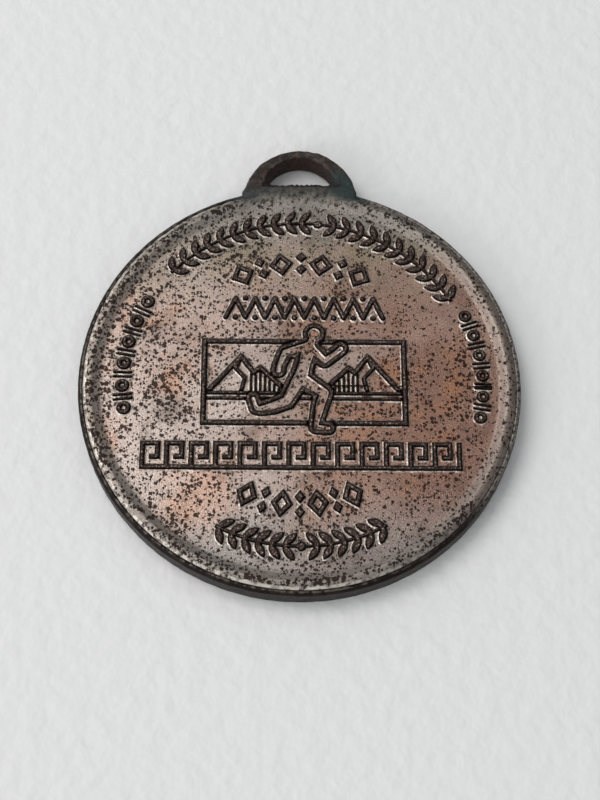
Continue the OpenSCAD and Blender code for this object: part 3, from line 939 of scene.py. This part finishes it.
    def weather(self, points: np.ndarray, radius: np.ndarray, height: np.ndarray) -> np.ndarray:
        """Wears the rim's top and edge and adds small nicks.

        Args:
            points: The rim's points.
            radius: Their distances from the axis before wear.
            height: Their heights before wear.

        Returns:
            The moved points.
        """
        lv = self.levels
        outer = smooth((radius - (lv.disc_r - 2.4)) / 1.2)
        rough = self.wear.at(points)
        moved = points.copy()
        moved[:, 2] += self.wear_depth * outer * rough * np.sign(height - lv.disc_t / 2)
        shrink = 1.0 - self.edge_wander * outer * np.abs(rough) / lv.disc_r
        moved[:, :2] *= shrink[:, None]
        # Under the loop the rim has no edge of its own: the field runs up to the loop.
        under = smooth((self.loop_half - np.abs(points[:, 0])) / 1.8) * (points[:, 1] > 0.0)
        front = (radius > lv.field_r + 0.01) & (height > lv.disc_t - 1.05)
        ramp = lv.field_z + (lv.disc_t - 0.03 - lv.field_z) * smooth((radius - lv.field_r) / 2.9)
        moved[:, 2] += np.where(front, under * (ramp - moved[:, 2]), 0.0)
        rng = np.random.default_rng(17)
        for _ in range(self.nicks):
            a = rng.uniform(0.0, TURN)
            r = lv.disc_r - rng.uniform(0.0, 0.9)
            z = lv.disc_t if rng.random() < 0.8 else 0.0
            size, depth = rng.uniform(*self.nick_size), rng.uniform(*self.nick_depth)
            centre = np.array([r * math.cos(a), r * math.sin(a), z])
            near = np.linalg.norm(points - centre, axis=1) / size
            dent = depth * np.exp(-2.5 * near ** 2)
            inward = np.array([-math.cos(a) * 0.5, -math.sin(a) * 0.5, -0.87 if z > 0 else 0.87])
            moved += dent[:, None] * inward
        return moved


# ---------------------------------------------------------------------------
# The raised design
# ---------------------------------------------------------------------------


@dataclass
class Relief:
    """The raised design, struck as one soft-shouldered skin and split by node.

    The flat outlines of the CAD nodes give a map of how far each spot lies inside the
    nearest stroke. The height follows that distance: a small fillet at the foot, a
    steep flank and a rounded ridge. Where two nodes meet, the skin runs on unbroken.
    """

    disc: Disc
    nodes: list[str]
    pitch: float = 0.085
    flare: float = 0.17
    crown: float = 0.33
    skirt: float = 0.12
    lift: float = 0.004
    seat: float = 0.035
    sink: float = 0.25
    reach: float = 0.75

    def build(self, finish: Finish) -> None:
        """Makes one piece for each node.

        Args:
            finish: The strokes' finish.
        """
        edge = self.disc.levels.field_r + self.skirt
        ticks = np.arange(-edge, edge + self.pitch, self.pitch)
        depth = np.full((len(ticks), len(ticks)), -self.reach)
        owner = np.full(depth.shape, -1)
        for index, node in enumerate(self.nodes):
            inside = self.depth_map(self.outline(node), ticks)
            deeper = inside > depth
            depth[deeper] = inside[deeper]
            owner[deeper] = index
        grid_y, grid_x = np.meshgrid(ticks, ticks, indexing="ij")
        ground = self.disc.front_surface(grid_x.ravel(), grid_y.ravel()).reshape(depth.shape)
        rise = smooth((depth + self.seat + self.flare) / (self.flare + self.crown))
        height = ground + self.lift + self.disc.levels.relief_h * rise
        shown = depth > -(self.flare + self.skirt)
        corners = [(0, 0), (0, 1), (1, 1), (1, 0)]
        size = len(ticks)
        stacks = [depth[i:size - 1 + i, j:size - 1 + j] for i, j in corners]
        owners = np.stack([owner[i:size - 1 + i, j:size - 1 + j] for i, j in corners])
        deepest = np.argmax(np.stack(stacks), axis=0)
        cell_owner = np.take_along_axis(owners, deepest[None], axis=0)[0]
        cell_shown = np.all([shown[i:size - 1 + i, j:size - 1 + j] for i, j in corners], axis=0)
        for index, node in enumerate(self.nodes):
            cells = np.argwhere(self.joined(cell_shown & (cell_owner == index)))
            piece = self.skin(f"struck_{node}", cells, ticks, height)
            report(piece, finish, node)

    @staticmethod
    def joined(mine: np.ndarray) -> np.ndarray:
        """Fills a cell wherever two cells touch at a corner only, so that the skin has clean edges.

        Args:
            mine: The grid of a node's cells.

        Returns:
            The grid with the filling.
        """
        while True:
            a, b, c, d = mine[:-1, :-1], mine[:-1, 1:], mine[1:, :-1], mine[1:, 1:]
            rising = np.argwhere(a & d & ~b & ~c)
            falling = np.argwhere(b & c & ~a & ~d)
            if not len(rising) and not len(falling):
                return mine
            mine = mine.copy()
            mine[rising[:, 0], rising[:, 1] + 1] = True
            mine[falling[:, 0], falling[:, 1]] = True

    def outline(self, node: str) -> np.ndarray:
        """The edges of a node's flat top.

        Args:
            node: The CAD node's name.

        Returns:
            Rows of x0, y0, x1, y1, in millimetres.
        """
        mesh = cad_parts[node].data
        co = np.array([v.co for v in mesh.vertices]) / MM
        top = co[:, 2].max() - 0.01
        count: dict[tuple, int] = {}
        for face in mesh.polygons:
            corners = [tuple(np.round(co[v], 4)) for v in face.vertices]
            if min(c[2] for c in corners) < top:
                continue
            for a, b in zip(corners, corners[1:] + corners[:1]):
                key = (a, b) if a < b else (b, a)
                count[key] = count.get(key, 0) + 1
        return np.array([[a[0], a[1], b[0], b[1]] for (a, b), uses in count.items() if uses == 1])

    def depth_map(self, edges: np.ndarray, ticks: np.ndarray) -> np.ndarray:
        """How deep inside an outline each grid point lies; outside it is negative.

        Args:
            edges: The outline's edges.
            ticks: The grid's places, the same across and up.

        Returns:
            The grid of distances, held at the reach.
        """
        size, first = len(ticks), ticks[0]
        gap = np.full((size, size), self.reach)
        inside = np.zeros((size, size), bool)
        for x0, y0, x1, y1 in edges:
            i0 = max(int((min(y0, y1) - self.reach - first) / self.pitch), 0)
            i1 = min(int((max(y0, y1) + self.reach - first) / self.pitch) + 2, size)
            j0 = max(int((min(x0, x1) - self.reach - first) / self.pitch), 0)
            j1 = min(int((max(x0, x1) + self.reach - first) / self.pitch) + 2, size)
            px, py = ticks[None, j0:j1] - x0, ticks[i0:i1, None] - y0
            dx, dy = x1 - x0, y1 - y0
            along = np.clip((px * dx + py * dy) / max(dx * dx + dy * dy, 1e-12), 0.0, 1.0)
            away = np.hypot(px - along * dx, py - along * dy)
            gap[i0:i1, j0:j1] = np.minimum(gap[i0:i1, j0:j1], away)
            if y0 == y1:
                continue
            low, high = min(y0, y1), max(y0, y1)
            rows = np.nonzero((ticks >= low) & (ticks < high))[0]
            crossing = x0 + (ticks[rows] - y0) * dx / dy
            for row, cut in zip(rows, np.searchsorted(ticks, crossing)):
                inside[row, cut:] ^= True
        return np.where(inside, gap, -gap)

    def skin(self, name: str, cells: np.ndarray, ticks: np.ndarray, height: np.ndarray) -> bpy.types.Object:
        """Makes a closed piece from grid cells: a top skin, a flat underside and walls.

        Args:
            name: The piece's name.
            cells: Row and column of each cell.
            ticks: The grid's places.
            height: The grid's heights.

        Returns:
            The object.
        """
        size = len(ticks)
        i, j = cells[:, 0], cells[:, 1]
        quads = np.column_stack([i * size + j, i * size + j + 1, (i + 1) * size + j + 1, (i + 1) * size + j])
        used, local = np.unique(quads, return_inverse=True)
        local = local.reshape(quads.shape)
        x, y = ticks[used % size], ticks[used // size]
        top = np.column_stack([x, y, height.ravel()[used]])
        under = np.column_stack([x, y, np.full(len(x), self.disc.levels.field_z - self.sink)])
        count = len(used)
        sides = np.vstack([local[:, [k, (k + 1) % 4]] for k in range(4)])
        code = sides[:, 0].astype(np.int64) * count + sides[:, 1]
        back = sides[:, 1].astype(np.int64) * count + sides[:, 0]
        rim = sides[~np.isin(code, back)]
        walls = np.column_stack([rim[:, 1], rim[:, 0], rim[:, 0] + count, rim[:, 1] + count])
        faces = local.tolist() + (local[:, ::-1] + count).tolist() + walls.tolist()
        return make_piece(name, np.vstack([top, under]), faces, crease_deg=60.0)


# ---------------------------------------------------------------------------
# The ribbon loop
# ---------------------------------------------------------------------------


@dataclass
class Loop:
    """The pierced loop: a band that goes round a D-shaped eye, grown out of the rim."""

    levels: Levels
    eye_w: float = 10.3
    eye_h: float = 4.5
    eye_web: float = 0.25
    outer_r: float = 8.0
    stations: int = 420
    across: int = 14
    edge_r: float = 0.28
    corner: float = 0.45
    root: float = 28.95
    soft: float = 0.16
    burr_height: float = 0.30
    lump_depth: float = 0.05
    lumps: Ripple = field(default_factory=lambda: Ripple(23, 0.8, 4.0))
    burr: Ripple = field(default_factory=lambda: Ripple(29, 0.35, 1.1))

    def build(self, finish: Finish) -> None:
        """Makes the loop.

        Args:
            finish: The loop's finish.
        """
        inner, outer = self.contours()
        low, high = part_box("ribbon_loop")
        z_low, z_high = low.z / MM, high.z / MM
        section = self.section(z_low, z_high)
        rows = len(section)
        n = self.stations
        share, height, on_front = section[:, 0], section[:, 1], section[:, 2]
        points = inner[:, None, :] * (1.0 - share)[None, :, None] + outer[:, None, :] * share[None, :, None]
        z = np.broadcast_to(height, (n, rows)).copy()
        r = np.hypot(points[..., 0], points[..., 1])
        lift = (self.levels.disc_t - 0.02 - z_high) * smooth((self.levels.disc_r + 1.6 - r) / 1.9)
        z += on_front[None, :] * lift
        # The piercing tool pushed a ragged burr up along the flat side of the eye.
        foot = smooth((self.levels.disc_r + self.eye_web + 0.5 - inner[:, 1]) / 0.4)
        crest = np.exp(-((share - 0.10) / 0.09) ** 2) * on_front
        tips = np.column_stack([inner, np.zeros(n)])
        ragged = smooth(0.5 + 0.6 * self.burr.at(tips))
        z += self.burr_height * foot[:, None] * crest[None, :] * ragged[:, None]
        flat = np.column_stack([points.reshape(-1, 2), z.ravel()])
        flat += self.lump_depth * self.lumps.at(flat)[:, None] * self.outward(flat, (z_low + z_high) / 2)
        faces = []
        for s in range(n):
            a, b = s * rows, (s + 1) % n * rows
            faces += [[a + k, a + (k + 1) % rows, b + (k + 1) % rows, b + k] for k in range(rows)]
        report(make_piece("pierced_loop", flat, faces, crease_deg=50.0), finish, "ribbon_loop")

    def outward(self, points: np.ndarray, middle: float) -> np.ndarray:
        """A rough outward direction for the lumps: away from the band's middle.

        Args:
            points: The loop's points.
            middle: The height half way through the band.

        Returns:
            One direction a point.
        """
        away = points - np.array([0.0, self.levels.disc_r + 2.0, middle])
        away[:, 2] *= 2.0
        return away / np.linalg.norm(away, axis=1, keepdims=True)

    def contours(self) -> tuple[np.ndarray, np.ndarray]:
        """The eye's outline and, station for station, the band's outer line.

        Returns:
            Two arrays of x and y rows.
        """
        eye_y = self.levels.disc_r + self.eye_web
        half = self.eye_w / 2.0
        eye_r = (half ** 2 + self.eye_h ** 2) / (2.0 * self.eye_h)
        centre_y = eye_y + self.eye_h - eye_r
        start = math.asin((eye_y - centre_y) / eye_r)
        arc = np.linspace(start, math.pi - start, 600)
        arch = np.column_stack([eye_r * np.cos(arc), centre_y + eye_r * np.sin(arc)])
        base = np.column_stack([np.linspace(-half, half, 400)[1:-1], np.full(398, eye_y)])
        line = np.vstack([arch, base])
        step = np.linalg.norm(np.diff(line, axis=0, append=line[:1]), axis=1)
        length = np.concatenate([[0.0], np.cumsum(step)])
        at = np.linspace(0.0, length[-1], self.stations, endpoint=False)
        closed = np.vstack([line, line[:1]])
        inner = np.column_stack([np.interp(at, length, closed[:, k]) for k in (0, 1)])
        spread = int(self.corner / (length[-1] / self.stations))
        kernel = np.hanning(2 * spread + 3)
        kernel /= kernel.sum()
        wrapped = np.vstack([inner[-spread - 1:], inner, inner[:spread + 1]])
        inner = np.column_stack([np.convolve(wrapped[:, k], kernel, mode="valid") for k in (0, 1)])
        eye = np.array([0.0, eye_y + 1.6])
        heading = inner - eye
        heading /= np.linalg.norm(heading, axis=1, keepdims=True)
        loop_mid = np.array([0.0, eye_y + self.eye_h + 1.3 - self.outer_r])
        to_band = self.ray(eye, heading, loop_mid, self.outer_r, far=True)
        to_root = self.ray(eye, heading, np.zeros(2), self.root, far=False)
        outer = eye + heading * np.minimum(to_band, to_root)[:, None]
        r = np.hypot(outer[:, 0], outer[:, 1])
        flare = np.where(outer[:, 0] < 0.0, 0.3, 0.12) * np.exp(-((r - self.levels.disc_r) / 0.6) ** 2)
        outer[:, 0] += np.sign(outer[:, 0]) * flare * smooth((np.abs(outer[:, 0]) - 5.5) / 2.0)
        return inner, outer

    @staticmethod
    def ray(start: np.ndarray, heading: np.ndarray, centre: np.ndarray, radius: float,
            far: bool) -> np.ndarray:
        """How far each ray goes before it meets a circle; very far if it misses.

        Args:
            start: Where the rays start.
            heading: Their directions.
            centre: The circle's centre.
            radius: The circle's radius.
            far: Take the further crossing, for a circle round the start.

        Returns:
            The distances.
        """
        offset = start - centre
        half_b = heading @ offset
        c = offset @ offset - radius ** 2
        inside = half_b ** 2 - c
        root = np.sqrt(np.maximum(inside, 0.0))
        hit = -half_b + root if far else -half_b - root
        return np.where((inside > 0.0) & (hit > 0.0), hit, 1e3)

    def rounding(self, t: float) -> float:
        """How far the band's face drops at its rounded edges.

        Args:
            t: The share of the way from the eye to the outer line.

        Returns:
            The drop, in millimetres.
        """
        near = min(min(t, 1.0 - t) / self.soft, 1.0)
        return self.edge_r * (1.0 - math.sqrt(max(0.0, 1.0 - (1.0 - near) ** 2)))

    def section(self, z_low: float, z_high: float) -> np.ndarray:
        """The band's cross-section, as a closed loop from the eye's side outwards.

        Args:
            z_low: The back face's height.
            z_high: The front face's height.

        Returns:
            Rows of share from the eye to the outer line, height, and 1 on the front.
        """
        walls = np.linspace(z_high - self.edge_r, z_low + self.edge_r, 9)[1:-1]
        across = np.linspace(0.0, 1.0, self.across)
        rows = [[t, z_high - self.rounding(t), 1.0] for t in across]
        rows += [[1.0, z, 0.0] for z in walls]
        rows += [[t, z_low + self.rounding(t), 0.0] for t in np.linspace(1.0, 0.0, self.across)]
        rows += [[0.0, z, 0.0] for z in walls[::-1]]
        return np.array(rows)


# ---------------------------------------------------------------------------
# The set
# ---------------------------------------------------------------------------


@dataclass
class Studio:
    """A plain pale floor, soft light and the camera."""

    camera_at: tuple[float, float, float] = (-3.4, -80.8, 189.6)
    tilt_deg: tuple[float, float, float] = (22.72, -0.967, 0.410)
    lens_mm: float = 67.5
    window_way: tuple[float, float, float] = (-0.80, -0.20, 0.56)
    floor_half: float = 1.5
    tooth_mm: float = 2.5
    tooth_depth: float = 0.25
    card: str = "dad9d7"
    daylight: str = "e8ebee"
    lamps: tuple[tuple[str, tuple[float, float, float], float, float], ...] = (
        ("key", (-0.42, 0.26, 0.80), 0.55, 3.7),
        ("side", (-0.60, -0.50, 0.40), 0.30, 1.5),
    )

    def build(self) -> None:
        """Sets up everything round the medal."""
        self.make_floor()
        self.make_lights()
        self.make_camera()

    def make_floor(self) -> None:
        """Lays the floor just under the medal."""
        h = self.floor_half
        mesh = bpy.data.meshes.new("floor")
        mesh.from_pydata([(-h, -h, 0.0), (h, -h, 0.0), (h, h, 0.0), (-h, h, 0.0)], [], [(0, 1, 2, 3)])
        floor = bpy.data.objects.new("floor", mesh)
        bpy.context.scene.collection.objects.link(floor)
        sh = Shader("pale_card")
        tooth = sh.put("TexNoise", {**sh.spaced(self.tooth_mm), "Detail": 2.0})
        # The card is smooth further out, where it is only seen at a low angle.
        tooth_depth = sh.put("MapRange", {0: sh.radius, 1: 90.0, 2: 400.0, 3: self.tooth_depth, 4: 0.0})
        height = sh.put("Math", {0: tooth, 1: tooth_depth}, **TIMES)
        bump = sh.put("Bump", {"Strength": 1.0, "Distance": MM, "Height": height})
        surface = sh.put("BsdfPrincipled", {"Base Color": self.card, "Roughness": 0.8, "Normal": bump})
        sh.put("OutputMaterial", {"Surface": surface})
        mesh.materials.append(sh.material)

    def make_lights(self) -> None:
        """Adds the soft key light, a low side light and a room that is lighter on the left."""
        for name, place, size, power in self.lamps:
            light = bpy.data.lights.new(name, "AREA")
            light.energy = power
            light.size = size
            lamp = bpy.data.objects.new(name, light)
            lamp.location = place
            lamp.rotation_euler = Vector(place).to_track_quat("Z", "Y").to_euler()
            bpy.context.scene.collection.objects.link(lamp)
        world = bpy.data.worlds.new("room")
        world.use_nodes = True
        room = Tree(world.node_tree)
        heading = room.put("TexCoord", out="Generated")
        lit = room.put("VectorMath", {0: heading, 1: self.window_way}, "Value", operation="DOT_PRODUCT")
        strength = room.put("MapRange", {0: lit, 1: -0.75, 2: 0.95, 3: 0.19, 4: 1.02}, **EASED)
        glow = room.put("Background", {"Color": self.daylight, "Strength": strength})
        room.put("OutputWorld", {"Surface": glow})
        bpy.context.scene.world = world

    def make_camera(self) -> None:
        """Places the camera."""
        lens = bpy.data.cameras.new("camera")
        lens.lens = self.lens_mm
        lens.sensor_width = 36.0
        lens.clip_start = 0.01
        camera = bpy.data.objects.new("camera", lens)
        camera.location = Vector(self.camera_at) * MM
        camera.rotation_mode = "ZYX"
        camera.rotation_euler = Euler([math.radians(a) for a in self.tilt_deg], "ZYX")
        bpy.context.scene.collection.objects.link(camera)
        bpy.context.scene.camera = camera


# ---------------------------------------------------------------------------
# The medal
# ---------------------------------------------------------------------------


def main() -> None:
    """Builds the medal and the set."""
    logging.basicConfig(level=logging.INFO, format="%(message)s")
    bpy.context.scene.view_settings.view_transform = "Standard"
    levels = Levels.from_frame()
    disc = Disc(levels)
    disc.build(Finish(Place.FIELD, "silver_wash", levels), Finish(Place.RIM, "worn_rim", levels))
    raised = [n for n in sorted(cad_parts) if n not in ("field_disc", "rim_ring", "ribbon_loop")]
    Relief(disc, raised).build(Finish(Place.RELIEF, "dark_relief", levels))
    Loop(levels).build(Finish(Place.LOOP, "loop_patina", levels))
    Studio().build()


if __name__ == "__main__":
    main()
